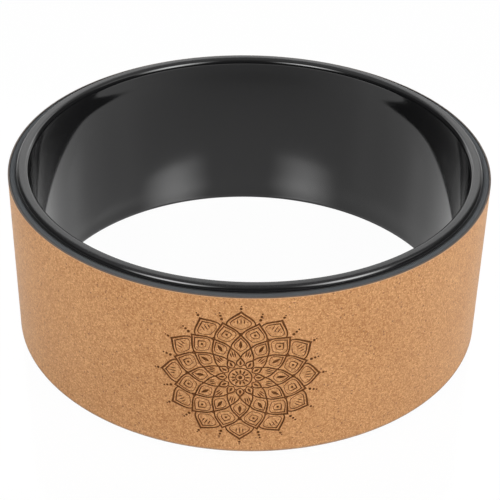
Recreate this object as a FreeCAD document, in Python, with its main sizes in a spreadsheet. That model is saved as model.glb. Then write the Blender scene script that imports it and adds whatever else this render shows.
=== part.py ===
import FreeCAD, Part
import os
import Sketcher

# Yoga wheel: a plastic hoop wrapped in a foam pad and a cork cover, both bonded on.
# It lies on its side: the wheel's axis is +Z and its lower rim stands on Z = 0.
# Lengths are in millimetres and angles in degrees.

DRIVING_SIZES = [
    ("hoop_outer_diameter", 319.0),
    ("hoop_wall", 9.0),
    ("hoop_width", 127.0),
    ("rim_outer_round", 3.0),
    ("rim_inner_round", 4.0),
    # each rim stands this far proud of the strips' edges
    ("rim_lift", 3.5),
    ("pad_adhesive_thickness", 0.15),
    ("pad_thickness", 4.0),
    ("cork_adhesive_thickness", 0.15),
    ("cork_thickness", 1.2),
    # the ends of a strip that goes once round the wheel are butted, this far apart
    ("strip_seam_gap", 0.4),
    # the seams are at the back, and not one above the other
    ("pad_seam_azimuth", 115.0),
    ("cork_seam_azimuth", 90.0),
]

doc = FreeCAD.newDocument("yoga_wheel")
sheet = doc.addObject("Spreadsheet::Sheet", "sizes")
for row, (name, value) in enumerate(DRIVING_SIZES, start=1):
    sheet.set(f"A{row}", name)
    sheet.set(f"B{row}", str(value))
    sheet.setAlias(f"B{row}", name)
doc.recompute()

# From the hoop outwards, each layer starts where the one inside it ends.
HOOP_OUTER = "sizes.hoop_outer_diameter / 2"
HOOP_INNER = f"{HOOP_OUTER} - sizes.hoop_wall"
PAD_INNER = f"{HOOP_OUTER} + sizes.pad_adhesive_thickness"
PAD_OUTER = f"{PAD_INNER} + sizes.pad_thickness"
CORK_INNER = f"{PAD_OUTER} + sizes.cork_adhesive_thickness"
CORK_OUTER = f"{CORK_INNER} + sizes.cork_thickness"
STRIP_BOTTOM = "sizes.rim_lift"
STRIP_TOP = "sizes.hoop_width - sizes.rim_lift"

WHEEL_AXIS = FreeCAD.Vector(0, 0, 1)
# a sketch's own numbers for its origin, its X axis and the two ends of a line
SKETCH_ORIGIN = (-1, 1)
SKETCH_X_AXIS = -1
LINE_START = 1
LINE_END = 2


def ring_section(body, inner, outer, bottom, top):
    """A rectangle on the body's XZ plane, from radius inner to outer and from height bottom to top.

    A bottom of None stands the section on the ground.
    """
    sketch = body.newObject("Sketcher::SketchObject", f"{body.Name}_section")
    plane = next(f for f in body.Origin.OriginFeatures if f.Role == "XZ_Plane")
    sketch.AttachmentSupport = [(plane, "")]
    sketch.MapMode = "FlatFace"

    # a small square, anticlockwise from its lower inner corner, which the constraints then stretch
    corners = [FreeCAD.Vector(x, y, 0) for x, y in ((1, 1), (2, 1), (2, 2), (1, 2))]
    low_side, outer_side, high_side, inner_side = range(4)
    for side, next_side in ((0, 1), (1, 2), (2, 3), (3, 0)):
        sketch.addGeometry(Part.LineSegment(corners[side], corners[next_side]), False)
    for side, next_side in ((0, 1), (1, 2), (2, 3), (3, 0)):
        sketch.addConstraint(Sketcher.Constraint("Coincident", side, LINE_END, next_side, LINE_START))
    sketch.addConstraint(Sketcher.Constraint("Horizontal", low_side))
    sketch.addConstraint(Sketcher.Constraint("Horizontal", high_side))
    sketch.addConstraint(Sketcher.Constraint("Vertical", outer_side))
    sketch.addConstraint(Sketcher.Constraint("Vertical", inner_side))

    def place(name, kind, line, size):
        """Keep the start of a side at a distance from the wheel's axis or from the ground."""
        index = sketch.addConstraint(Sketcher.Constraint(kind, *SKETCH_ORIGIN, line, LINE_START, 1.0))
        sketch.renameConstraint(index, name)
        sketch.setExpression(f"Constraints.{name}", size)

    place("inner", "DistanceX", low_side, inner)
    place("outer", "DistanceX", outer_side, outer)
    place("top", "DistanceY", high_side, top)
    if bottom is None:
        sketch.addConstraint(Sketcher.Constraint("PointOnObject", low_side, LINE_START, SKETCH_X_AXIS))
    else:
        place("bottom", "DistanceY", low_side, bottom)
    return sketch


def revolved(body, sketch):
    """The section turned round the wheel's axis."""
    revolution = body.newObject("PartDesign::Revolution", f"{body.Name}_ring")
    revolution.Profile = sketch
    revolution.ReferenceAxis = (sketch, ["V_Axis"])
    return revolution


def rim_circles(shape, pick):
    """Names of the two circles at the ends of a pipe's outer (pick max) or inner (pick min) wall."""
    walls = [face for face in shape.Faces if isinstance(face.Surface, Part.Cylinder)]
    wall = pick(walls, key=lambda face: face.Surface.Radius)
    circles = [edge for edge in wall.Edges if isinstance(edge.Curve, Part.Circle)]
    names = []
    for number, edge in enumerate(shape.Edges, start=1):
        if any(edge.isSame(circle) for circle in circles):
            names.append(f"Edge{number}")
    return names


def make_hoop():
    """The plastic hoop: a length of pipe whose rims are rounded outside and inside."""
    body = doc.addObject("PartDesign::Body", "hoop")
    revolved(body, ring_section(body, HOOP_INNER, HOOP_OUTER, None, "sizes.hoop_width"))
    doc.recompute()
    for name, pick in (("rim_outer_round", max), ("rim_inner_round", min)):
        pipe = body.Tip
        rounding = body.newObject("PartDesign::Fillet", name)
        rounding.Base = (pipe, rim_circles(pipe.Shape, pick))
        rounding.setExpression("Radius", f"sizes.{name}")
        doc.recompute()
    return body


def make_strip(name, inner, outer, seam_azimuth):
    """A strip wrapped once round the wheel, with a narrow seam where its ends meet."""
    body = doc.addObject("PartDesign::Body", name)
    ring = revolved(body, ring_section(body, inner, outer, STRIP_BOTTOM, STRIP_TOP))
    ring.Midplane = True
    ring.setExpression("Angle", f"360 - sizes.strip_seam_gap / ({inner}) * 180 / pi")
    # the strip's middle is on +X, so its seam is on -X until the body is turned
    body.Placement.Rotation = FreeCAD.Rotation(WHEEL_AXIS, 1)
    body.setExpression("Placement.Rotation.Angle", f"{seam_azimuth} - 180")
    return body


make_hoop()
make_strip("pad_adhesive", HOOP_OUTER, PAD_INNER, "sizes.pad_seam_azimuth")
make_strip("foam_pad", PAD_INNER, PAD_OUTER, "sizes.pad_seam_azimuth")
make_strip("cork_adhesive", PAD_OUTER, CORK_INNER, "sizes.cork_seam_azimuth")
make_strip("cork_cover", CORK_INNER, CORK_OUTER, "sizes.cork_seam_azimuth")
doc.recompute()

for item in doc.Objects:
    if "Invalid" in item.State or "Error" in item.State:
        raise RuntimeError(f"{item.Label} failed: {item.State}")

pieces = [item for item in doc.Objects if item.TypeId == "PartDesign::Body"]
for piece in pieces:
    if piece.Shape.isNull() or not piece.Shape.isValid():
        raise RuntimeError(f"{piece.Label} has no valid shape")

os.makedirs("parts", exist_ok=True)
for piece in pieces:
    piece.Shape.exportStep(f"parts/{piece.Label}.step")
    box = piece.Shape.optimalBoundingBox()
    print(f"{piece.Label}: {len(piece.Shape.Solids)} solid, {piece.Shape.Volume / 1000:.1f} cm3, "
          f"{box.XLength:.2f} x {box.YLength:.2f} x {box.ZLength:.2f} mm")
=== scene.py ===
# %% [markdown]
# # A yoga wheel, dressed for its portrait
#
# The real object is a short, wide hoop of glossy black plastic. A strip of grey foam is glued round it, a
# strip of cork is glued round the foam, and a round ornament is printed on the cork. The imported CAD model
# already has the hoop, both strips and the two films of adhesive. This lesson models the pieces again with
# the softness and the small flaws of the real ones, gives each its finish and sets up a small studio.
#
# Everything is in metres. The wheel lies on its side: its axis is +Z, its lower rim stands on Z = 0, and
# the print looks along -Y, towards the camera.

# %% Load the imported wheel
import math
from collections import namedtuple

import bmesh
import bpy
from mathutils import Matrix, Vector, noise


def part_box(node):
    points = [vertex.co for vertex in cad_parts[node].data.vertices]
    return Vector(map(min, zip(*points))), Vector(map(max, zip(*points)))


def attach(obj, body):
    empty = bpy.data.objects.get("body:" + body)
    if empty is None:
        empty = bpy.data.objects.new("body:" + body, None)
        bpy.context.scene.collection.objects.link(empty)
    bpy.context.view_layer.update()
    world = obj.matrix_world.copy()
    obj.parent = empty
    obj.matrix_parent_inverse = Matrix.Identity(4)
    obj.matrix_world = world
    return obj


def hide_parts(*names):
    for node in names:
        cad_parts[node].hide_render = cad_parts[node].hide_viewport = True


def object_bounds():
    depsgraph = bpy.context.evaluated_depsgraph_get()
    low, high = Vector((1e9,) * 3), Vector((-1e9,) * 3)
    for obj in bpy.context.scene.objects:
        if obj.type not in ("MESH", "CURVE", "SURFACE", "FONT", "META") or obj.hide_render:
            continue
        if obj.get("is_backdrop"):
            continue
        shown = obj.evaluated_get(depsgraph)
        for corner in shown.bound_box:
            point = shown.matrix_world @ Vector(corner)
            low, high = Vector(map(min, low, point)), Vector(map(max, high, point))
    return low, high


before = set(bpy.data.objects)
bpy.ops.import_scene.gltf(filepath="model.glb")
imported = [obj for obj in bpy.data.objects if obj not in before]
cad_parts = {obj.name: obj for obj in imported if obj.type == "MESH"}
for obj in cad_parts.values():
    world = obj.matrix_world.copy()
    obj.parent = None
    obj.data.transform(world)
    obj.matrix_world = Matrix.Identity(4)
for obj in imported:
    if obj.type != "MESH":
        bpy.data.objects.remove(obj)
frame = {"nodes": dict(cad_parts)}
cad_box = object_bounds()
MM = 0.001
print("packed pieces:", ", ".join(frame["nodes"]))

# %% [markdown]
# ## The camera
#
# The photograph was taken from about 0.6 m above the floor and a little more than a metre away, with a
# long lens. A camera can be placed by eye, but a wheel is kinder than most objects: its two rims are circles,
# and only one place, tilt and lens turns them into the ellipses that the photograph shows. The numbers
# below come from such a fit. The tilt is built from three plain turns, so that each stays readable: the roll
# about the line of sight first, then the tilt down from the horizon, then the small turn about the vertical.

# %% Place the camera
CAMERA_PLACE = Vector((0.0, -0.8374, 0.6020))
CAMERA_DOWN = 0.5840
CAMERA_TO_RIGHT = 0.0016
CAMERA_ROLL = 0.0187
LENS_MM = 100.52
SENSOR_MM = 36.0

camera = bpy.data.objects.new("camera", bpy.data.cameras.new("camera"))
camera.data.lens = LENS_MM
camera.data.sensor_width = SENSOR_MM
turned = Matrix.Rotation(-CAMERA_TO_RIGHT, 4, "Z")
tilted = Matrix.Rotation(math.pi / 2 - CAMERA_DOWN, 4, "X")
rolled = Matrix.Rotation(CAMERA_ROLL, 4, "Z")
camera.matrix_world = Matrix.Translation(CAMERA_PLACE) @ turned @ tilted @ rolled
bpy.context.collection.objects.link(camera)
bpy.context.scene.camera = camera
bpy.context.scene.view_settings.view_transform = "Standard"
print(f"camera: {LENS_MM} mm lens, {math.degrees(CAMERA_DOWN):.1f} degrees down")

# %% [markdown]
# ## Measuring what is already there
#
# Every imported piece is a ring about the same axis, so four numbers say where it is: two radii and two
# heights. They could be typed in again, but then they could drift away from the CAD model. Reading them from
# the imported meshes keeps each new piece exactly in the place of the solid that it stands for.

# %% Measure the rings
Ring = namedtuple("Ring", "inner outer bottom top")


def measure_ring(node):
    """The radii and heights of a packed ring, read from its vertices."""
    radii = [vertex.co.xy.length for vertex in frame["nodes"][node].data.vertices]
    low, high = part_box(node)
    return Ring(min(radii), max(radii), low.z, high.z)


rings = {node: measure_ring(node) for node in frame["nodes"]}
for node, ring in rings.items():
    inner, outer, bottom, top = (round(size / MM, 2) for size in ring)
    print(f"{node}: radius {inner} to {outer} mm, height {bottom} to {top} mm")

# %% [markdown]
# ## One section for every ring
#
# A lathe operator thinks of a ring as a small section that goes round an axis, and Blender's spin does the
# same. A ring could also start as two cylinders, one cut out of the other, but a section is quicker to
# shape: four vertices make a rectangle, and a bevel of its corners makes the roundings, because a rounding
# in the section becomes a rounded edge all the way round. The inner and the outer corners are bevelled
# apart, so that they can differ.
#
# Smooth shading blends the directions of neighbouring faces, and a wide face next to a narrow rounding would
# look swollen. So each straight side is split close to its two ends. The short pieces hold the blend
# near the rounding, and the wide face between them stays true.

# %% Draw a section
SAME_HEIGHT = 0.001 * MM


def rounded_section(ring, inner_round, outer_round, segments):
    """A new bmesh with a ring's section, a rectangle with rounded corners, on the XZ plane."""
    bm = bmesh.new()
    low_inner = bm.verts.new((ring.inner, 0, ring.bottom))
    low_outer = bm.verts.new((ring.outer, 0, ring.bottom))
    high_outer = bm.verts.new((ring.outer, 0, ring.top))
    high_inner = bm.verts.new((ring.inner, 0, ring.top))
    bm.faces.new((low_inner, low_outer, high_outer, high_inner))
    for corners, rounding in (([low_inner, high_inner], inner_round), ([low_outer, high_outer], outer_round)):
        bmesh.ops.bevel(bm, geom=corners, offset=rounding, affect="VERTICES", segments=segments,
                        profile=0.5, material=-1)
    return bm


def straight_sides(bm):
    """The four straight sides of a rounded section: lower, outer, upper and inner."""
    longest = sorted(bm.edges, key=lambda edge: edge.calc_length())[-4:]
    flat = [edge for edge in longest if abs(edge.verts[0].co.z - edge.verts[1].co.z) < SAME_HEIGHT]
    upright = [edge for edge in longest if edge not in flat]
    lower, upper = sorted(flat, key=lambda edge: edge.verts[0].co.z)
    inner, outer = sorted(upright, key=lambda edge: edge.verts[0].co.x)
    return lower, outer, upper, inner


def hold_ends(side, hold):
    """Split a straight side near both of its ends and return the long piece between."""
    parts = [side]
    for end in list(side.verts):
        long_part = max(parts, key=lambda edge: edge.calc_length())
        short_part, _ = bmesh.utils.edge_split(long_part, end, hold / long_part.calc_length())
        parts.append(short_part)
    return max(parts, key=lambda edge: edge.calc_length())


# %% Make a piece of a mesh
def as_piece(bm, name):
    """Turn a finished bmesh into a smooth shaded object that rides on the wheel."""
    for face in bm.faces:
        face.smooth = True
    mesh = bpy.data.meshes.new(name)
    bm.to_mesh(mesh)
    bm.free()
    piece = bpy.data.objects.new(name, mesh)
    bpy.context.collection.objects.link(piece)
    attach(piece, "root")
    triangles = sum(len(polygon.vertices) - 2 for polygon in mesh.polygons)
    print(f"{name}: {triangles} triangles")
    return piece


# %% [markdown]
# ## The hoop
#
# The hoop is moulded or cut from a pipe of black ABS, and its rims are rounded inside and outside so that
# hands and backs don't meet an edge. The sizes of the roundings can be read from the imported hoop: they are
# what is missing between the flat land on top and the walls. The section goes all the way round, so only
# its outline is spun, and the last step is merged with the first.
#
# Thick plastic shrinks as it cools and leaves a sink mark: a ring of the inner wall, about a centimetre
# below each rim, is hollow by a few tenths of a millimetre, deeper and broader on the right than on the
# left. Nobody would feel it, but a mirror shows it: it gives the dark reflections at both ends of the wall
# their horns.

# %% Turn the hoop
HOOP_STEPS = 360
RIM_SEGMENTS = 12
WALL_ROWS = 60
HOLD = 0.5 * MM
LAND_DEPTH = 0.01 * MM

hoop = rings["hoop"]
hoop_points = [vertex.co for vertex in frame["nodes"]["hoop"].data.vertices]
land_radii = [point.xy.length for point in hoop_points if point.z > hoop.top - LAND_DEPTH]
rim_inner_round = min(land_radii) - hoop.inner
rim_outer_round = hoop.outer - max(land_radii)
print(f"rims rounded by {rim_inner_round / MM:.2f} mm inside and {rim_outer_round / MM:.2f} mm outside")

bm = rounded_section(hoop, rim_inner_round, rim_outer_round, RIM_SEGMENTS)
lower, outer_side, upper, inner_side = straight_sides(bm)
for side in (lower, outer_side, upper):
    hold_ends(side, HOLD)
wall = hold_ends(inner_side, HOLD)
bmesh.ops.subdivide_edges(bm, edges=[wall], cuts=WALL_ROWS)
bmesh.ops.delete(bm, geom=bm.faces[:], context="FACES_ONLY")
bmesh.ops.spin(bm, geom=bm.verts[:] + bm.edges[:], axis=(0, 0, 1), cent=(0, 0, 0),
               angle=2 * math.pi, steps=HOOP_STEPS, use_merge=True)
bmesh.ops.recalc_face_normals(bm, faces=bm.faces[:])

# %% Sink the hoop's wall
SINK_FROM_RIM = 10 * MM
SINK_REACH = 8 * MM
SINK_DEPTH = 0.29 * MM
SINK_DRIFT = 0.28

for vertex in bm.verts:
    radius = vertex.co.xy.length
    if radius < (hoop.inner + hoop.outer) / 2:
        from_rim = min(vertex.co.z - hoop.bottom, hoop.top - vertex.co.z)
        growth = 1 + SINK_DRIFT * vertex.co.x / radius
        along = (from_rim - SINK_FROM_RIM) / (SINK_REACH * growth)
        hollow = SINK_DEPTH * growth * math.exp(-along ** 2)
        vertex.co.xy *= (radius + hollow) / radius
hoop_shell = as_piece(bm, "hoop_shell")
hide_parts("hoop")

# %% [markdown]
# ## Strips that go once round
#
# The foam and the cork are strips that are cut to length, wrapped once and butted at the back. So they
# are not full rings: the section is a face, it is spun by a little less than a full turn, and the face stays
# at both ends as the cut end of the strip. The edges of a cut end stay sharp.

# %% Wrap a strip
SEAM_GAP = 0.4 * MM


def wrap_strip(bm, ring, seam_azimuth, steps):
    """Spin a strip's section, drawn on the XZ plane, once round the wheel from seam to seam."""
    half_gap = SEAM_GAP / 2 / ring.inner
    to_seam = Matrix.Rotation(seam_azimuth + half_gap, 3, "Z")
    bmesh.ops.rotate(bm, cent=(0, 0, 0), matrix=to_seam, verts=bm.verts[:])
    bmesh.ops.spin(bm, geom=bm.verts[:] + bm.edges[:] + bm.faces[:], axis=(0, 0, 1), cent=(0, 0, 0),
                   angle=2 * math.pi - 2 * half_gap, steps=steps)
    bmesh.ops.recalc_face_normals(bm, faces=bm.faces[:])
    cut_ends = [face for face in bm.faces if len(face.verts) > 4]
    for face in cut_ends:
        for edge in face.edges:
            edge.smooth = False
    open_edges = sum(edge.is_boundary for edge in bm.edges)
    print(f"wrapped from seam to seam with {len(cut_ends)} cut ends and {open_edges} open edges")


# %% [markdown]
# ## The foam pad
#
# The pad is closed-cell foam, about 4 mm thick. Only its two cut edges show, as a matte grey band between
# the black rim and the cork. A blade never leaves such an edge quite flat: the foam is squeezed while it
# is cut and swells back, so the edge is slightly crowned and wanders by a tenth of a millimetre. The
# crown is drawn into the section, and the wandering is noise that is read at each vertex's place, which
# gives the same result at every run.

# %% Draw the foam's section
STRIP_SEGMENTS = 3
FOAM_ROUND = 0.5 * MM
FOAM_CROWN = 0.35 * MM
CROWN_POINTS = 3

pad = rings["foam_pad"]
pad_middle = (pad.bottom + pad.top) / 2
pad_centre = (pad.inner + pad.outer) / 2


def inward_at_edge(vertex):
    """1 or -1, up or down from a cut edge of the foam to its middle, and 0 away from the edges."""
    if abs(vertex.co.z - pad_middle) > pad_middle - pad.bottom - 2 * FOAM_ROUND:
        return math.copysign(1, pad_middle - vertex.co.z)
    return 0


bm = rounded_section(pad, FOAM_ROUND, FOAM_ROUND, STRIP_SEGMENTS)
lower, outer_side, upper, inner_side = straight_sides(bm)
for side in (lower, upper):
    bmesh.ops.subdivide_edges(bm, edges=[side], cuts=CROWN_POINTS)
for side in (outer_side, inner_side):
    hold_ends(side, HOLD)
for vertex in bm.verts:
    from_centre = (vertex.co.x - pad_centre) / (pad.outer - pad_centre)
    vertex.co.z += inward_at_edge(vertex) * FOAM_CROWN * from_centre ** 2
print(f"foam section: {len(bm.verts)} points, crowned by {FOAM_CROWN / MM:.2f} mm")

# %% Wrap the foam
PAD_SEAM = math.radians(115)
FOAM_STEPS = 360
FOAM_WANDER = 0.12 * MM
FOAM_WANDER_LENGTH = 14 * MM

wrap_strip(bm, pad, PAD_SEAM, FOAM_STEPS)
for vertex in bm.verts:
    wander = 0.5 + 0.5 * noise.noise(vertex.co / FOAM_WANDER_LENGTH)
    vertex.co.z += inward_at_edge(vertex) * FOAM_WANDER * wander
foam_layer = as_piece(bm, "foam_layer")
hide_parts("foam_pad")

# %% [markdown]
# ## The cork cover
#
# The cover is agglomerated cork: small granules that are pressed with a binder into a block, sliced to
# 1.2 mm and glued on. A sheet like this follows the foam under it, so its face is never a perfect
# cylinder, and its cut edges lose a granule here and there. The outer side of the section gets a row of
# points, and after the spin noise moves them: a slow and very shallow swell for the face, and a sharper one
# that eats small nicks into the edges. The face stays a few hundredths of a millimetre under the packed
# one, so that there is room for the ink.

# %% Wrap the cork
CORK_SEAM = math.radians(90)
CORK_STEPS = 540
CORK_ROWS = 30
CORK_ROUND = 0.22 * MM
INK_ROOM = 0.06 * MM

cork = rings["cork_cover"]._replace(outer=rings["cork_cover"].outer - INK_ROOM)
cork_bm = rounded_section(cork, CORK_ROUND, CORK_ROUND, STRIP_SEGMENTS)
_, outer_side, _, inner_side = straight_sides(cork_bm)
hold_ends(inner_side, HOLD)
face_side = hold_ends(outer_side, HOLD)
bmesh.ops.subdivide_edges(cork_bm, edges=[face_side], cuts=CORK_ROWS)
wrap_strip(cork_bm, cork, CORK_SEAM, CORK_STEPS)

# %% Swell the cork's face and nick its edges
SWELL = 0.03 * MM
SWELL_LENGTH = 22 * MM
NICK = 0.35 * MM
NICK_LENGTH = 3 * MM
NICK_FROM = 0.35
NICK_REACH = 1.5 * CORK_ROUND

cork_middle = (cork.bottom + cork.top) / 2
nicked = 0
for vertex in cork_bm.verts:
    radius = vertex.co.xy.length
    from_edge = cork.top - cork_middle - abs(vertex.co.z - cork_middle)
    if radius > cork.outer - CORK_ROUND / 2:
        lift = SWELL * min(0, noise.noise(vertex.co / SWELL_LENGTH))
        vertex.co.xy *= (radius + lift) / radius
    if from_edge < NICK_REACH:
        chip = max(0, noise.noise(vertex.co / NICK_LENGTH) - NICK_FROM)
        vertex.co.z += math.copysign(NICK * chip, cork_middle - vertex.co.z)
        nicked += chip > 0
print(f"cork: {nicked} points of its edges lie in nicks")

# %% [markdown]
# When the model leaves Blender, its finishes are baked into one square picture for each piece, and a strip
# a metre long would be squeezed into it. A map of its own avoids that: the face is laid out as three
# shorter strips, one above the other, the narrow edges go on top of them, and the hidden back gets
# a narrow column. Nothing overlaps, and a millimetre of cork keeps about three pixels.

# %% Lay the cork out flat for the bake
MAP_ROWS = 3
MAP_ROW_HEIGHT = 0.305
MAP_SCALE = 2.5
MAP_MARGIN = 0.008
MAP_EDGES_FROM = 0.94
MAP_EDGE_STEP = 0.009
MAP_BACK_COLUMN = 0.89
MAP_BACK_WIDTH = 0.8
MAP_BACK_HEIGHT = 0.9
MAP_PIXELS = 1024


def along_strip(point):
    """How far round the strip a point is, from 0 at one cut end to 1 at the other."""
    turn = math.atan2(point.y, point.x) - CORK_SEAM
    return turn / (2 * math.pi) % 1


def map_place(face, point):
    """Where a point of a cork face goes on the map."""
    centre = face.calc_center_median()
    middle = along_strip(centre)
    along = middle + (along_strip(point) - middle + 0.5) % 1 - 0.5
    row = min(int(middle * MAP_ROWS), MAP_ROWS - 1)
    length = 2 * math.pi * cork.outer
    u = MAP_MARGIN + (along - row / MAP_ROWS) * length * MAP_SCALE
    if abs(face.normal.z) > 0.5:
        number = row + (MAP_ROWS if centre.z > cork_middle else 0)
        v = MAP_EDGES_FROM + number * MAP_EDGE_STEP + (point.xy.length - cork.inner) * MAP_SCALE
    elif centre.xy.length > (cork.inner + cork.outer) / 2:
        v = MAP_MARGIN + row * MAP_ROW_HEIGHT + (point.z - cork.bottom) * MAP_SCALE
    else:
        u = MAP_BACK_COLUMN + (point.z - cork.bottom) * MAP_BACK_WIDTH
        v = MAP_MARGIN + along * MAP_BACK_HEIGHT
    return u, v


bake_map = cork_bm.loops.layers.uv.new("OFBake")
for face in cork_bm.faces:
    for loop in face.loops:
        loop[bake_map].uv = map_place(face, loop.vert.co)
cork_skin = as_piece(cork_bm, "cork_skin")
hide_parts("cork_cover")
print(f"bake map: {1 / MAP_SCALE / MAP_PIXELS / MM:.2f} mm of cork per pixel")

# %% [markdown]
# ## The printed ornament
#
# The print is a round ornament a little over 100 mm across, in dark brown lines about half a millimetre
# wide. This one is a plain lotus rosette: rings of twelve pointed petals, each ring looking out between the
# petals of the one before it. It could be painted into the cork's material, but half a millimetre is less
# than the baked picture can hold. So the ink is real geometry, a very thin film that follows the cork.
#
# Every motif comes from one operator, a circle. Its points are moved onto the outline of a petal, two such
# outlines are bridged to make a line that swells and tapers like a brush stroke, and a filled petal makes
# a seed or a fine stroke. One sector is drawn along +Y and repeated round the centre by a spin that
# duplicates.

# %% Petals, lines and dots
PETAL_LEAN = 0.8
PETAL_POINT = 1.15
PETAL_POINTS = 64
RING_POINTS = 144
DOT_POINTS = 14
STROKE_POINTS = 20
TIP_LINE = 2.2


def petal_loop(bm, base, tip, half_width, points=PETAL_POINTS, fill=False):
    """A petal's outline along +Y between two distances from the centre, and its face if it is filled."""
    loop = bmesh.ops.create_circle(bm, cap_ends=fill, segments=points, radius=1)["verts"]
    for vertex in loop:
        along = (1 + vertex.co.y) / 2
        swell = max(0, math.sin(math.pi * along ** PETAL_LEAN)) ** PETAL_POINT
        side = math.copysign(1, vertex.co.x)
        vertex.co = (side * half_width * swell, base + (tip - base) * along, 0)
    return loop


def bridge(bm, *loops):
    """Faces between two outlines that lie one in the other."""
    edges = {edge for loop in loops for vertex in loop for edge in vertex.link_edges}
    bmesh.ops.bridge_loops(bm, edges=list(edges))


def petal_line(bm, base, tip, half_width, line):
    """A line round a petal, widest at its tip."""
    outside = petal_loop(bm, base, tip, half_width)
    inside = petal_loop(bm, base + line, tip - TIP_LINE * line, half_width - line)
    bridge(bm, outside, inside)


def ring_line(bm, radius, line, points=RING_POINTS):
    """A line round a circle about the print's centre."""
    outside = bmesh.ops.create_circle(bm, segments=points, radius=radius)["verts"]
    inside = bmesh.ops.create_circle(bm, segments=points, radius=radius - line)["verts"]
    bridge(bm, outside, inside)


def dot(bm, distance, radius, turn=0.0):
    """A filled dot at a distance from the centre."""
    place = Matrix.Rotation(turn, 4, "Z") @ Matrix.Translation((0, distance, 0))
    bmesh.ops.create_circle(bm, cap_ends=True, segments=DOT_POINTS, radius=radius, matrix=place)


def stroke(bm, base, tip, half_width, turn=0.0):
    """A filled stroke that tapers at both ends."""
    loop = petal_loop(bm, base, tip, half_width, points=STROKE_POINTS, fill=True)
    bmesh.ops.rotate(bm, cent=(0, 0, 0), matrix=Matrix.Rotation(turn, 3, "Z"), verts=loop)


# %% [markdown]
# Petals overlap, and the lines of a lower ring must stop where an upper petal covers them. The lines
# are made of short faces, so it is enough to delete those whose middle lies inside a covering petal. The
# test turns the point into the sector of the nearest petal, where it is the same formula that drew the
# outline. The covers are taken slightly small, so that each cut end hides under the line on top of it.

# %% Rings of petals that cover each other
FOLD = 12
SECTOR = 2 * math.pi / FOLD
COVER_MARGIN = 0.25
Cover = namedtuple("Cover", "base tip half_width turn")


def covers(cover, point):
    """Whether a ring of petals hides a point of the flat print."""
    angle = math.atan2(point.x, point.y) - cover.turn
    angle = (angle + SECTOR / 2) % SECTOR - SECTOR / 2
    distance = point.xy.length
    along = (distance * math.cos(angle) - cover.base) / (cover.tip - cover.base)
    if not 0 < along < 1:
        return False
    swell = math.sin(math.pi * along ** PETAL_LEAN) ** PETAL_POINT
    return abs(distance * math.sin(angle)) < cover.half_width * swell - COVER_MARGIN


def add_motif(print_bm, draw, count=FOLD, turn=0.0, under=()):
    """Draw a motif, repeat it round the centre and add what no upper petal covers to the print."""
    bm = bmesh.new()
    draw(bm)
    bmesh.ops.rotate(bm, cent=(0, 0, 0), matrix=Matrix.Rotation(-turn, 3, "Z"), verts=bm.verts[:])
    if count > 1:
        share = 2 * math.pi / count
        bmesh.ops.spin(bm, geom=bm.verts[:] + bm.edges[:] + bm.faces[:], axis=(0, 0, 1), cent=(0, 0, 0),
                       angle=share * (count - 1), steps=count - 1, use_duplicate=True)
    hidden = [face for face in bm.faces
              if any(covers(cover, face.calc_center_median()) for cover in under)]
    bmesh.ops.delete(bm, geom=hidden, context="FACES")
    motif = bpy.data.meshes.new("motif")
    bm.to_mesh(motif)
    bm.free()
    print_bm.from_mesh(motif)
    bpy.data.meshes.remove(motif)


# %% [markdown]
# The rosette is drawn in millimetres from the centre outwards: a small sun, then five rings of petals.
# Each ring has a bold outline and its own filling of seeds, strokes and fine lines, so that the rings stay
# apart at a glance. Dots in front of the tips soften the outer edge. Nothing is finer than what the eye
# can still part from a step away.

# %% The motifs of each ring
BOLD = 0.8
FINE = 0.5
SMALL_RING_POINTS = 48


def draw_heart(bm):
    """The sun in the middle of the rosette."""
    dot(bm, 0, 1.3)
    ring_line(bm, 3.0, 0.6, points=SMALL_RING_POINTS)
    ring_line(bm, 7.3, BOLD)


def draw_ray(bm):
    """A ray of the sun."""
    stroke(bm, 3.0, 6.0, 0.62)


def draw_seed_petal(bm):
    """First ring: a small petal with a seed."""
    stroke(bm, 9.2, 13.0, 0.75)


def draw_fan_petal(bm):
    """Second ring: a fan of three strokes."""
    for number in (-1, 0, 1):
        stroke(bm, 15.4, 21.0 - 1.2 * abs(number), 0.42, turn=0.075 * number)


def draw_long_petal(bm):
    """Third ring: a long seed in a fine line."""
    petal_line(bm, 19.2, 29.6, 4.0, FINE)
    stroke(bm, 21.4, 27.4, 1.0)


def draw_nested_petal(bm):
    """Fourth ring: petals one inside the other."""
    petal_line(bm, 26.8, 38.9, 5.8, FINE)
    petal_line(bm, 29.4, 35.8, 3.1, FINE)
    dot(bm, 32.2, 0.8)


def draw_outer_petal(bm):
    """Fifth ring: five strokes that follow the tip."""
    petal_line(bm, 35.0, 45.8, 6.3, FINE)
    for number in range(-2, 3):
        stroke(bm, 38.6 + 0.4 * number ** 2, 43.8 - 0.75 * number ** 2, 0.36, turn=0.048 * number)


def draw_tip_dots(bm):
    """Dots in front of a tip of the fifth ring."""
    dot(bm, 50.0, 0.85)
    dot(bm, 51.7, 0.5)


def draw_valley_dots(bm):
    """Dots that shrink outwards between two tips of the fifth ring."""
    for distance, radius in ((43.6, 0.95), (46.0, 0.8), (48.0, 0.6)):
        dot(bm, distance, radius)


# %% Draw the rosette
HALF_TURN = SECTOR / 2
PETALS = [
    Cover(7.6, 15.6, 2.75, 0.0),
    Cover(9.0, 23.6, 4.1, HALF_TURN),
    Cover(15.0, 32.4, 6.0, 0.0),
    Cover(22.5, 41.8, 7.9, HALF_TURN),
    Cover(32.0, 48.6, 8.8, 0.0),
]

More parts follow.
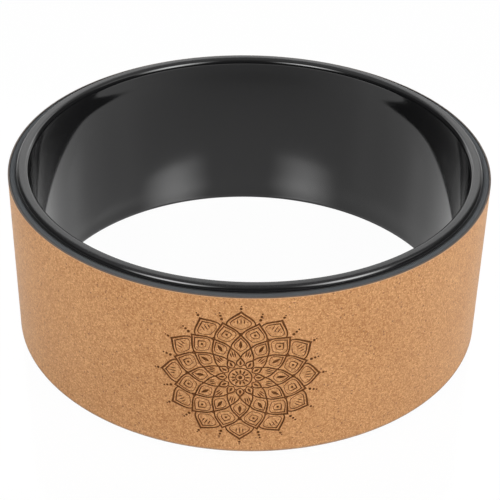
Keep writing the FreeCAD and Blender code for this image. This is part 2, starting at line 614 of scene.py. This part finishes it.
rosette = bmesh.new()
add_motif(rosette, draw_heart, count=1)
add_motif(rosette, draw_ray)
fillings = (draw_seed_petal, draw_fan_petal, draw_long_petal, draw_nested_petal, draw_outer_petal)
for number, (petal, filling) in enumerate(zip(PETALS, fillings)):
    above = PETALS[:number]
    add_motif(rosette, lambda bm: petal_line(bm, *petal[:3], BOLD), turn=petal.turn, under=above)
    add_motif(rosette, filling, turn=petal.turn, under=above)
add_motif(rosette, draw_tip_dots)
add_motif(rosette, draw_valley_dots, turn=HALF_TURN)
rosette_reach = max(vertex.co.xy.length for vertex in rosette.verts)
print(f"rosette: {len(rosette.faces)} flat faces, {2 * rosette_reach:.1f} mm across")

# %% [markdown]
# The flat drawing is enlarged a little, becomes a film and goes onto the wheel. Solidify gives it a
# thickness. Then it is bent: the distance to the side becomes an angle, the distance up becomes a height,
# and the thickness becomes a distance from the wheel's axis. The print is not quite in the middle of the
# photograph, and neither is it here.

# %% Lay the rosette on the cork
INK_FILM = 0.05 * MM
INK_CLEARANCE = 0.005 * MM
PRINT_TURN = math.radians(-1.2)
PRINT_UNIT = 1.04 * MM

bmesh.ops.scale(rosette, vec=(PRINT_UNIT, PRINT_UNIT, PRINT_UNIT), verts=rosette.verts[:])
bmesh.ops.recalc_face_normals(rosette, faces=rosette.faces[:])
for face in rosette.faces:
    if face.normal.z < 0:
        face.normal_flip()
bmesh.ops.solidify(rosette, geom=rosette.faces[:], thickness=INK_FILM)
lowest = min(vertex.co.z for vertex in rosette.verts)
ink_outer = rings["cork_cover"].outer - INK_CLEARANCE
for vertex in rosette.verts:
    radius = ink_outer - INK_FILM + (vertex.co.z - lowest)
    azimuth = -math.pi / 2 + PRINT_TURN + vertex.co.x / cork.outer
    vertex.co = (radius * math.cos(azimuth), radius * math.sin(azimuth), cork_middle + vertex.co.y)
bmesh.ops.recalc_face_normals(rosette, faces=rosette.faces[:])
printed_rosette = as_piece(rosette, "printed_rosette")
for polygon in printed_rosette.data.polygons:
    polygon.use_smooth = False

# %% [markdown]
# ## Shader maths in plain Python
#
# A finish is a small calculation that runs at every point of a surface. In the shader editor it is a net
# of nodes, and in a script such a net is hard to read. So one class wraps a node's output and lends it
# Python's operators: `1 - mask` then adds a Math node by itself. Every other kind of node comes from one
# method, which sets the node's own settings first and then its sockets.

# %% A socket with operators
class Socket:
    """A node's output, on which Python's operators add Math nodes."""

    def __init__(self, tree, output=None):
        self.tree = tree
        self.output = output

    def node(self, kind, settings=None, inputs=None, output=0):
        """Any node: its type, its settings and then the values or links of its sockets."""
        made = self.tree.nodes.new(kind)
        for name, value in (settings or {}).items():
            setattr(made, name, value)
        for name, value in (inputs or {}).items():
            if isinstance(value, Socket):
                self.tree.links.new(value.output, made.inputs[name])
            else:
                made.inputs[name].default_value = value
        return Socket(self.tree, made.outputs[output])

    def maths(self, operation, *values):
        """A Math node: its operation and the values or links of its sockets, in order."""
        return self.node("ShaderNodeMath", {"operation": operation}, dict(enumerate(values)))

    def __add__(self, other):
        return self.maths("ADD", self, other)

    def __radd__(self, other):
        return self.maths("ADD", other, self)

    def __sub__(self, other):
        return self.maths("SUBTRACT", self, other)

    def __rsub__(self, other):
        return self.maths("SUBTRACT", other, self)

    def __mul__(self, other):
        return self.maths("MULTIPLY", self, other)

    def __rmul__(self, other):
        return self.maths("MULTIPLY", other, self)


# %% [markdown]
# A few phrases come back in every finish: a random pattern of a given size, a soft step between two values,
# a blend of two colours and a bump. They are named once here. Sizes of patterns are given in metres and
# turned into Blender's scale, which counts repeats in each metre.

# %% Start and end a finish
def new_finish(name):
    """A new material: the material, the sockets of its shader and the start of its maths."""
    material = bpy.data.materials.new(name)
    material.use_nodes = True
    shader = material.node_tree.nodes["Principled BSDF"]
    return material, shader.inputs, Socket(material.node_tree)


def feed(socket, value):
    """Link a value that changes over the surface to a socket of the shader."""
    value.tree.links.new(value.output, socket)


def dress(piece, material):
    """Give a piece its finish."""
    piece.data.materials.append(material)
    print(f"{piece.name}: {material.name}, {len(material.node_tree.nodes)} nodes")


# %% Phrases for finishes
def place_on_piece(maths):
    """Object coordinates, which here are the wheel's own, in metres."""
    return maths.node("ShaderNodeTexCoord", output="Object")


def coordinate(place, axis):
    """One of the three numbers of a place or a direction."""
    return place.node("ShaderNodeSeparateXYZ", inputs={"Vector": place}, output=axis)


def clouds(place, size, detail=2.0, output="Fac"):
    """Soft noise whose patches are about this size."""
    return place.node("ShaderNodeTexNoise", inputs={"Vector": place, "Scale": 1 / size, "Detail": detail},
                      output=output)


def cells(place, size, output, feature="F1"):
    """Random cells of about this size."""
    return place.node("ShaderNodeTexVoronoi", {"feature": feature}, {"Vector": place, "Scale": 1 / size},
                      output=output)


def step_up(value, low, high):
    """0 below low, 1 above high and a soft step between them."""
    return value.node("ShaderNodeMapRange", {"interpolation_type": "SMOOTHSTEP"},
                      {"Value": value, "From Min": low, "From Max": high})


def blend(factor, first, second):
    """The first colour where the factor is 0 and the second where it is 1."""
    return factor.node("ShaderNodeMix", {"data_type": "RGBA"}, {0: factor, 6: first, 7: second}, output=2)


def bump(height, strength, distance):
    """Relief: where the height is 1, the surface seems to stand this far proud."""
    return height.node("ShaderNodeBump",
                       inputs={"Strength": strength, "Distance": distance, "Height": height})


# %% [markdown]
# ## Glossy black plastic
#
# The hoop is polished black ABS, and black gloss is hardly a colour: what shows is the white floor and the
# lamps, mirrored by the wall. Its base is nearly black, and a low index of refraction keeps it dark where
# it is seen straight on and pale where it is seen at a glance. Its life comes from small things. The wall
# is not a perfect mirror but waves by a few hundredths of a millimetre, and hands leave it duller in
# soft patches. The upper rim was buffed after cutting, which is a clear coat here, and the lower one has
# lost that polish on the floor. The flat lands of both, on which the wheel lies, are scuffed to a satin.

# %% Make the black plastic
PLASTIC_BLACK = (0.0068, 0.0068, 0.0072, 1)
PLASTIC_WORN = (0.030, 0.030, 0.031, 1)
LAND_FULL = 0.1 * MM
LAND_GONE = 0.9 * MM
BUFFED_FADE = 1.0 * MM
SCUFF = 0.7 * MM
HANDLED_PATCH = 60 * MM
WAVE_LENGTH = 34 * MM
WAVE_HEIGHT = 0.06 * MM


def black_plastic_finish():
    """Black gloss with buffed upper rounding and scuffed lands."""
    material, shader, maths = new_finish("polished_black_plastic")
    place = place_on_piece(maths)
    height = coordinate(place, "Z")
    upper_land = step_up(height, hoop.top - LAND_GONE, hoop.top - LAND_FULL)
    lower_land = 1 - step_up(height, LAND_FULL, LAND_GONE)
    land = upper_land + lower_land
    round_start = hoop.top - rim_inner_round
    buffed = step_up(height, round_start - BUFFED_FADE, round_start)

    scuffs = clouds(place, SCUFF, detail=4.0)
    handled = clouds(place, HANDLED_PATCH, detail=3.0)
    shader["IOR"].default_value = 1.38
    shader["Coat Roughness"].default_value = 0.1
    feed(shader["Coat Weight"], 0.65 * buffed * (1 - land))
    feed(shader["Roughness"], 0.03 + 0.06 * handled + land * (0.18 + 0.16 * scuffs))
    worn = land * step_up(scuffs, 0.45, 0.75)
    feed(shader["Base Color"], blend(worn, PLASTIC_BLACK, PLASTIC_WORN))
    feed(shader["Normal"], bump(clouds(place, WAVE_LENGTH, detail=1.0), 0.5, WAVE_HEIGHT))
    return material


dress(hoop_shell, black_plastic_finish())

# %% [markdown]
# ## Grey foam
#
# Cut closed-cell foam is matte, dark and slightly blue. Under a lens it is a carpet of cut bubbles a third
# of a millimetre wide. Each bubble has its own depth, so the cells give both the bump and a faint
# mottling, and a softer cloud makes the band lighter and darker along its length.

# %% Make the foam
FOAM_DARK = (0.048, 0.052, 0.056, 1)
FOAM_LIGHT = (0.095, 0.102, 0.110, 1)
BUBBLE = 0.35 * MM
BUBBLE_DEPTH = 0.12 * MM
FOAM_PATCH = 9 * MM


def foam_finish():
    """Matte grey with cut bubbles and a soft mottling."""
    material, shader, maths = new_finish("cut_grey_foam")
    place = place_on_piece(maths)
    bubbles = cells(place, BUBBLE, "Distance")
    mottle = 0.55 * bubbles + 0.45 * clouds(place, FOAM_PATCH, detail=3.0)
    feed(shader["Base Color"], blend(mottle, FOAM_DARK, FOAM_LIGHT))
    feed(shader["Roughness"], 0.82 + 0.15 * bubbles)
    feed(shader["Normal"], bump(bubbles, 0.5, BUBBLE_DEPTH))
    return material


dress(foam_layer, foam_finish())

# %% [markdown]
# ## Cork
#
# Agglomerated cork is a mosaic of granules about a millimetre wide and a little taller, in tones from straw
# to toffee. Random cells give the mosaic, bent by noise so that no border is straight. Each cell gets one
# tone, finer noise grains it, and a thin darker line of binder runs between the cells. Here and
# there a granule of bark is much darker. The same pattern lifts and sinks the surface, so that side light
# finds it. The cut edges are painted a dark grey brown, which is painted shade, and a thin pale line beside
# each corner of the face is a painted highlight. Along the floor the last two millimetres are darkened,
# which is painted shade too. Cut cork cells stand up like a very short fur: the diffuse roughness keeps the
# tone even up to the outline, and a sheen gives the pale bloom there.

# %% The cork's colours and sizes
CORK_DARK = (0.325, 0.112, 0.008, 1)
CORK_LIGHT = (0.795, 0.458, 0.205, 1)
CORK_BINDER = (0.300, 0.125, 0.042, 1)
CORK_BARK = (0.175, 0.068, 0.024, 1)
# painted highlight: the pale line beside each corner of the cork's face
CORK_EDGE_HIGHLIGHT = (0.640, 0.395, 0.240, 1)
# painted shade: the dark grey brown of the cut edges
CORK_CUT_EDGE_SHADE = (0.072, 0.058, 0.050, 1)
# painted shade: the darker band along the floor
CORK_FLOOR_SHADE = (0.230, 0.150, 0.095, 1)
SHEEN_WHITE = (1.0, 0.98, 0.97, 1)
GRANULE = 0.84 * MM
GRANULE_TALL = 1.25
GRANULE_BEND = 0.7 * MM
GRAIN = 0.32 * MM
DRIFT = 70 * MM
BARK = 2.6 * MM
BARK_BEND = 1.0 * MM
CORK_RELIEF = 0.1 * MM
# distances from the cork's edges at which each change starts and is complete
# the pale line beside the corners is a painted highlight
EDGE_HIGHLIGHT_FROM = 1.1 * MM
EDGE_HIGHLIGHT_FULL = 0.4 * MM
# the darkened cut edges are painted shade
CUT_SHADE_FROM = 0.36 * MM
CUT_SHADE_FULL = 0.20 * MM
# the darker band along the floor is painted shade
FLOOR_SHADE_FROM = 2.6 * MM
print(f"cork granules: {GRANULE / MM:.2f} mm wide, {GRANULE_TALL} times as tall")


# %% Make the cork
def bent_place(place, bend):
    """Coordinates that noise has pushed about by up to the width of its own patches."""
    push = clouds(place, bend, output="Color")
    return place.node("ShaderNodeVectorMath", {"operation": "MULTIPLY_ADD"},
                      {0: push, 1: (bend, bend, bend), 2: place})


def one_number(colour):
    """A random number for each cell, taken from its random colour."""
    return colour.node("ShaderNodeSeparateColor", inputs={"Color": colour}, output="Red")


def cork_finish():
    """Granules in their binder, with bark among them, a painted highlight beside the corners and painted
    shade on the cut edges and along the floor.
    """
    material, shader, maths = new_finish("agglomerated_cork")
    place = place_on_piece(maths)
    tall = place.node("ShaderNodeMapping", inputs={"Vector": place, "Scale": (1, 1, 1 / GRANULE_TALL)})
    bent = bent_place(tall, GRANULE_BEND)
    tone = one_number(cells(bent, GRANULE, "Color"))
    border = 1 - step_up(cells(bent, GRANULE, "Distance", feature="DISTANCE_TO_EDGE"), 0.02, 0.12)
    grain = clouds(tall, GRAIN)
    drift = clouds(place, DRIFT)

    lightness = 0.59 * tone + 0.93 * grain + 0.3 * drift - 0.45
    colour = blend(lightness, CORK_DARK, CORK_LIGHT)
    colour = blend(0.45 * border, colour, CORK_BINDER)
    bark_place = bent_place(place, BARK_BEND)
    bark_tone = one_number(cells(bark_place, BARK, "Color"))
    bark_reach = cells(bark_place, BARK, "Distance")
    bark = step_up(bark_tone, 0.80, 0.84) * (1 - step_up(bark_reach, 0.12, 0.34))
    colour = blend(0.8 * bark, colour, CORK_BARK)

    height = coordinate(place, "Z")
    from_middle = maths.maths("ABSOLUTE", height - cork_middle)
    half = cork.top - cork_middle
    # painted highlight: a pale line beside each corner of the face
    edge_highlight = step_up(from_middle, half - EDGE_HIGHLIGHT_FROM, half - EDGE_HIGHLIGHT_FULL)
    # painted shade: the cut edges darkened to a grey brown
    cut = step_up(from_middle, half - CUT_SHADE_FROM, half - CUT_SHADE_FULL)
    # painted shade: the last two millimetres along the floor darkened
    floor_shade = 1 - step_up(height, cork.bottom, cork.bottom + FLOOR_SHADE_FROM)
    # paint the highlight beside the corners
    colour = blend(0.6 * edge_highlight, colour, CORK_EDGE_HIGHLIGHT)
    # paint the shade along the floor
    colour = blend(0.55 * floor_shade, colour, CORK_FLOOR_SHADE)
    # paint the shade on the cut edges
    feed(shader["Base Color"], blend(0.95 * cut, colour, CORK_CUT_EDGE_SHADE))
    shader["Diffuse Roughness"].default_value = 1.0
    shader["Sheen Weight"].default_value = 0.3
    shader["Sheen Roughness"].default_value = 0.35
    shader["Sheen Tint"].default_value = SHEEN_WHITE
    feed(shader["Roughness"], 0.60 + 0.12 * tone + 0.1 * border)
    relief = 0.5 * tone + 0.3 * grain - 0.6 * border - 0.5 * bark
    feed(shader["Normal"], bump(relief, 0.22, CORK_RELIEF))
    return material


dress(cork_skin, cork_finish())

# %% [markdown]
# ## Ink
#
# The ornament is dark brown and matte, as if burnt into the cork. Cork takes ink unevenly: it sinks
# into some granules and stands on others, so the lines are mottled at the size of the granules.

# %% Make the ink
INK_WET = (0.060, 0.015, 0.002, 1)
INK_DRY = (0.150, 0.055, 0.016, 1)
INK_SPECK = 1.4 * MM
INK_PATCH = 12 * MM
INK_RELIEF = 0.08 * MM


def ink_finish():
    """Matte brown that has sunk in unevenly."""
    material, shader, maths = new_finish("dark_brown_ink")
    place = place_on_piece(maths)
    uptake = 0.6 * clouds(place, INK_SPECK, detail=3.0) + 0.4 * clouds(place, INK_PATCH)
    feed(shader["Base Color"], blend(step_up(uptake, 0.3, 0.7), INK_WET, INK_DRY))
    shader["Specular IOR Level"].default_value = 0.1
    feed(shader["Roughness"], 0.6 + 0.25 * uptake)
    feed(shader["Normal"], bump(uptake, 0.3, INK_RELIEF))
    return material


dress(printed_rosette, ink_finish())

# %% [markdown]
# ## Dried adhesive
#
# The two films of adhesive are hidden but for a hairline at the rims and in the seams. The packed
# solids already have the right shape, so they stay and only get a finish: a dull dark film, like tyre
# cement, that dried unevenly.

# %% Make the adhesive
ADHESIVE_DARK = (0.020, 0.020, 0.021, 1)
ADHESIVE_LIGHT = (0.045, 0.044, 0.043, 1)
DRIED_PATCH = 4 * MM
DRIED_RELIEF = 0.05 * MM


def adhesive_finish():
    """A dull dark film with drier patches."""
    material, shader, maths = new_finish("dried_adhesive")
    place = place_on_piece(maths)
    dried = clouds(place, DRIED_PATCH, detail=3.0)
    feed(shader["Base Color"], blend(dried, ADHESIVE_DARK, ADHESIVE_LIGHT))
    feed(shader["Roughness"], 0.45 + 0.3 * dried)
    feed(shader["Normal"], bump(dried, 0.3, DRIED_RELIEF))
    return material


adhesive = adhesive_finish()
for node in ("pad_adhesive", "cork_adhesive"):
    film = frame["nodes"][node]
    film.data.materials.clear()
    dress(film, adhesive)

# %% [markdown]
# ## The floor
#
# The wheel lies on a glossy white table. The camera and the mirror in the black plastic should both see it
# white, while it still takes a soft shadow. So the floor is a real white surface that the lamps light,
# and a glow with a strength of exactly 1, which is white, is put in its place for most of what the camera
# sees. For what the inner wall mirrors the glow is laid over it, but only inside the hoop: the floor under
# the rim stays dark, or the foot of the wall would fade into it. It weakens towards the front, because the
# near side of the hoop keeps light off the table behind it, and it is a little stronger at the sides, most of
# all on the right. The gloss of the table itself stays. It puts the two pale patches low on the far wall,
# which are the lamps, mirrored first by the table.

# %% Tell the rays apart
PURE_WHITE = (1, 1, 1, 1)


def ray_kinds(maths):
    """Two masks: what the camera sees, itself or through glass, and what gloss mirrors."""
    kinds = ("Is Camera Ray", "Is Transmission Ray", "Is Glossy Ray")
    camera_ray, glass_ray, mirror_ray = (maths.node("ShaderNodeLightPath", output=kind) for kind in kinds)
    return maths.maths("MAXIMUM", camera_ray, glass_ray), mirror_ray


# %% Make the floor's finish
TABLE_WHITE = (0.9, 0.9, 0.9, 1)
WHITE_FOR_CAMERA = 0.975
GLOW_AT_AXIS = 0.76
GLOW_TO_BACK = 1.3
GLOW_TO_RIGHT = 0.5
GLOW_TO_SIDES = 24.0
GLOW_FADE = 1.0 * MM


def floor_finish():
    """A glossy white table that is white for the camera and glows for what the wall mirrors."""
    material, shader, maths = new_finish("white_table")
    shader["Base Color"].default_value = TABLE_WHITE
    shader["Roughness"].default_value = 0.1
    shader["IOR"].default_value = 3.8
    lit = Socket(maths.tree, maths.tree.nodes["Principled BSDF"].outputs[0])
    glow = maths.node("ShaderNodeEmission", inputs={"Color": PURE_WHITE, "Strength": 1.0})
    camera_ray, mirror_ray = ray_kinds(maths)
    mixed = maths.node("ShaderNodeMixShader", inputs={0: WHITE_FOR_CAMERA * camera_ray, 1: lit, 2: glow})
    place = place_on_piece(maths)
    from_axis = place.node("ShaderNodeVectorMath", {"operation": "LENGTH"}, {0: place}, output="Value")
    inside = 1 - step_up(from_axis, hoop.inner - GLOW_FADE, hoop.inner)
    right = coordinate(place, "X")
    back = coordinate(place, "Y")
    across = 1 + GLOW_TO_RIGHT * right + GLOW_TO_SIDES * right * right
    strength = mirror_ray * inside * across * (GLOW_AT_AXIS + GLOW_TO_BACK * back)
    mirrored = maths.node("ShaderNodeEmission", inputs={"Color": PURE_WHITE, "Strength": strength})
    table = maths.node("ShaderNodeAddShader", inputs={0: mixed, 1: mirrored})
    feed(maths.tree.nodes["Material Output"].inputs["Surface"], table)
    return material


# %% Lay the floor
FLOOR_SIZE = 6.0
FLOOR_GAP = 0.2 * MM

bm = bmesh.new()
bmesh.ops.create_grid(bm, x_segments=1, y_segments=1, size=FLOOR_SIZE / 2)
bmesh.ops.translate(bm, vec=(0, 0, -FLOOR_GAP), verts=bm.verts[:])
floor_mesh = bpy.data.meshes.new("floor")
bm.to_mesh(floor_mesh)
bm.free()
floor = bpy.data.objects.new("floor", floor_mesh)
bpy.context.collection.objects.link(floor)
dress(floor, floor_finish())
floor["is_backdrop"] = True

# %% [markdown]
# ## The room
#
# The world plays the room. The camera sees it plain white. In reflections it is white behind the wheel,
# where the backdrop hangs, a grey overhead that darkens towards the camera, pale high on the side walls, most
# of all on the right, and dark elsewhere, where a studio is: this shades the roundings of the rims, puts dark
# bands beside their highlights and lets the highlights of the near rim trail off. For the light on the
# object it is an even, quiet grey.

# %% Paint the backdrop, the ceiling and the side walls
# each surface is described by the direction that a ray goes to meet it
BACKDROP_FROM = 0.70
BACKDROP_FULL = 0.86
CEILING_FROM = 0.45
CEILING_FULL = 1.0
CEILING_OVERHEAD = 0.6
CEILING_TO_BACK = 0.5
WALLS_ASIDE_FROM = 0.45
WALLS_ASIDE_FULL = 0.75
WALLS_UP_FROM = 0.50
WALLS_UP_FULL = 0.60
WALLS_BACK_FROM = 0.0
WALLS_BACK_GONE = 0.3
WALLS_MEAN = 0.82
WALLS_TO_RIGHT = 0.5

world = bpy.data.worlds.new("studio")
world.use_nodes = True
bpy.context.scene.world = world
maths = Socket(world.node_tree)
direction = maths.node("ShaderNodeTexCoord", output="Generated")
rightward, backward, upward = (coordinate(direction, axis) for axis in ("X", "Y", "Z"))
camera_ray, mirror_ray = ray_kinds(maths)
backdrop = step_up(backward, BACKDROP_FROM, BACKDROP_FULL)
ceiling = step_up(upward, CEILING_FROM, CEILING_FULL) * (CEILING_OVERHEAD + CEILING_TO_BACK * backward)
walls = step_up(maths.maths("ABSOLUTE", rightward), WALLS_ASIDE_FROM, WALLS_ASIDE_FULL)
walls = walls * step_up(upward, WALLS_UP_FROM, WALLS_UP_FULL)
walls = walls * (1 - step_up(backward, WALLS_BACK_FROM, WALLS_BACK_GONE))
walls = walls * (WALLS_MEAN + WALLS_TO_RIGHT * rightward)

# %% Make the room
STUDIO_GREY = 0.08
AMBIENT = 0.1

bright = maths.maths("MAXIMUM", walls, maths.maths("MAXIMUM", backdrop, ceiling))
studio = STUDIO_GREY + (1 - STUDIO_GREY) * bright
strength = camera_ray + mirror_ray * studio + AMBIENT * (1 - camera_ray - mirror_ray)
background = world.node_tree.nodes["Background"].inputs
background["Color"].default_value = PURE_WHITE
feed(background["Strength"], strength)
print(f"{world.name}: {len(world.node_tree.nodes)} nodes, ambient light {AMBIENT}")

# %% [markdown]
# ## The lamps
#
# Two large soft boxes stand in front of the wheel, left and right of the camera. They light the cork evenly,
# and each is mirrored three times in the black plastic: on the shoulder of the near rim, on the inner
# rounding of the far one, and by way of the table low on the far wall. All of these are soft spots that fade
# to their ends, so the boxes are brightest in the middle and dark at their edges. A wide panel hangs high
# behind the wheel and gives the top of the rim its grey sheen. A large, weak fill at each side keeps the cork
# pale up to its outline, and another stands low behind the wheel and lights the back, where the camera of the
# photo never looks. The fills aren't mirrored, or they would draw lines on the rims. A lamp is set by its
# radiance, how bright it looks, because that is what a reflection shows: power is radiance times its area
# times pi.

# %% Fade a lamp
def fade_to_edges(lamp):
    """Make a lamp brightest in its middle and dark at its edges."""
    lamp.use_nodes = True
    maths = Socket(lamp.node_tree)
    spot = maths.node("ShaderNodeNewGeometry", output="Parametric")
    fade = 1.0
    for axis in ("X", "Y"):
        from_middle = maths.maths("ABSOLUTE", 2 * coordinate(spot, axis) - 1)
        fade = fade * (1 - step_up(from_middle, 0.0, 1.0))
    feed(lamp.node_tree.nodes["Emission"].inputs["Strength"], fade)


# %% Hang the lamps
WHEEL_MIDDLE = Vector((0, 0, (cad_box[0].z + cad_box[1].z) / 2))


def hang_lamp(name, place, width, height, radiance, faded=False, mirrored=True):
    """A rectangular lamp that looks at the wheel."""
    lamp = bpy.data.lights.new(name, "AREA")
    lamp.shape = "RECTANGLE"
    lamp.size = width
    lamp.size_y = height
    lamp.energy = radiance * math.pi * width * height
    holder = bpy.data.objects.new(name, lamp)
    holder.location = place
    holder.visible_camera = False
    holder.visible_glossy = mirrored
    holder.rotation_euler = (WHEEL_MIDDLE - Vector(place)).to_track_quat("-Z", "Y").to_euler()
    bpy.context.collection.objects.link(holder)
    if faded:
        fade_to_edges(lamp)
    print(f"{name}: {lamp.energy:.1f} W")


hang_lamp("left_soft_box", (-0.38, -0.55, 0.56), 0.62, 0.60, 10.8, faded=True)
hang_lamp("right_soft_box", (0.75, -0.70, 0.78), 0.97, 1.25, 10.9, faded=True)
hang_lamp("left_fill", (-0.90, 0.10, 0.45), 1.0, 0.9, 0.75, mirrored=False)
hang_lamp("right_fill", (0.90, 0.05, 0.50), 1.0, 0.9, 0.55, mirrored=False)
hang_lamp("back_panel", (0.0, 1.75, 1.25), 2.2, 0.9, 1.5)
hang_lamp("back_fill", (0.1, 1.70, 0.35), 2.0, 0.6, 2.3, mirrored=False)

# %% [markdown]
# ## The wheel's size
#
# The box of the imported model, kept at the start, and the box of what shows now are written side by side,
# so that a change of the wheel's size by the new pieces would show. Then the lesson is over.

# %% Write both boxes and finish
seen_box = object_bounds()
boxes = {
    "cad": [list(corner) for corner in cad_box],
    "visual": [list(corner) for corner in seen_box],
}
for name, box in boxes.items():
    low, high = ([round(size / MM, 2) for size in corner] for corner in box)
    print(f"{name} box in mm: {low} to {high}")
